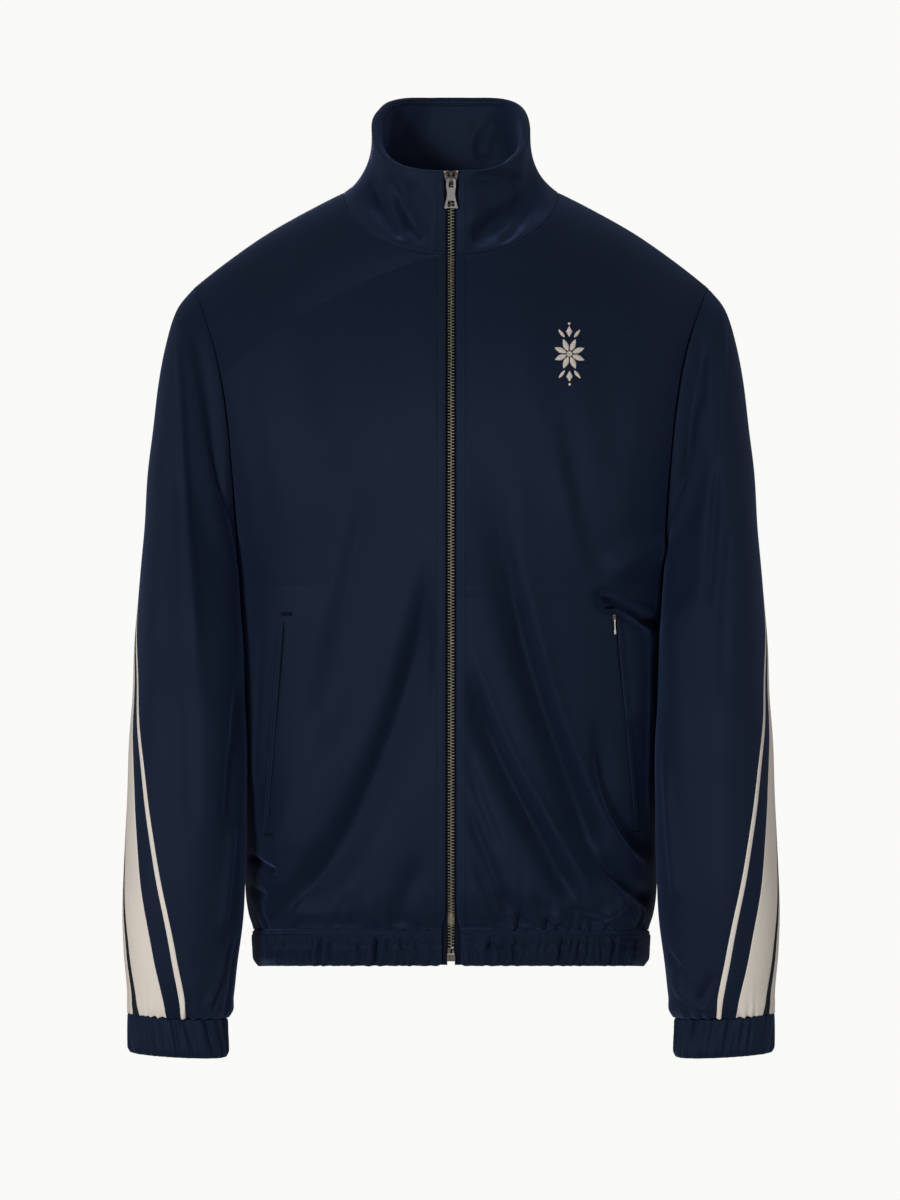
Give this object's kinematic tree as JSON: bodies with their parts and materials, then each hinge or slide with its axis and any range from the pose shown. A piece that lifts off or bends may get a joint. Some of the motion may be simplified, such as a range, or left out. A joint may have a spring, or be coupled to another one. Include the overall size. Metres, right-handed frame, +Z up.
{
  "type": "track jacket",
  "caption": "Zip-front jersey track jacket with a stand collar, slanted zipped pockets, gathered hem and cuffs, and a striped wedge let into each sleeve, filled out and hollow.",
  "frame": {"origin": "in the neck opening, midway between the two points where the shoulder seams meet the neck seam", "axes": "+Z up, -Y towards the jacket's front, +X towards the wearer's left"},
  "size_m": [0.5672, 0.242, 0.8436],
  "materials": {
    "navy_jersey": "smooth polyester tricot with a soft sheen",
    "beige_jersey": "smooth polyester tricot",
    "black_jersey": "smooth polyester tricot",
    "zip_tape": "woven tape",
    "zip_metal": "light antique",
    "slider_metal": "dark antique",
    "pull_metal": "polished"
  },
  "bodies": {
    "jacket": {"front_left": "navy_jersey", "front_right": "navy_jersey", "back": "navy_jersey", "collar": "navy_jersey", "hem_band": "navy_jersey", "sleeve_left": "navy_jersey", "cuff_left": "navy_jersey", "stripe_pipe_left": "beige_jersey", "stripe_band_left": "navy_jersey", "stripe_panel_left": "beige_jersey", "stripe_line_left": "black_jersey", "stripe_gusset_left": "beige_jersey", "sleeve_right": "navy_jersey", "cuff_right": "navy_jersey", "stripe_pipe_right": "beige_jersey", "stripe_band_right": "navy_jersey", "stripe_panel_right": "beige_jersey", "stripe_line_right": "black_jersey", "stripe_gusset_right": "beige_jersey", "zip_tape_left": "zip_tape", "zip_tape_right": "zip_tape", "zip_chain": "zip_metal", "zip_box": "slider_metal", "zip_slider": "slider_metal", "pocket_slider": "slider_metal", "pocket_welt_left": "navy_jersey", "pocket_welt_right": "navy_jersey"},
    "zip_tab": {"zip_pull": "pull_metal"},
    "pocket_tab": {"pocket_pull": "pull_metal"}
  },
  "joints": [
    {"name": "zip_pull_swing", "type": "hinge", "parent": "jacket", "child": "zip_tab", "pos_m": [0, -0.08588, 0.00348], "axis": [-1, 0, 0], "range_deg": [0, 150]},
    {"name": "pocket_pull_swing", "type": "hinge", "parent": "jacket", "child": "pocket_tab", "pos_m": [0.14029, -0.0941, -0.37271], "axis": [-0.8409, -0.5356, -0.0777], "range_deg": [0, 120]}
  ]
}
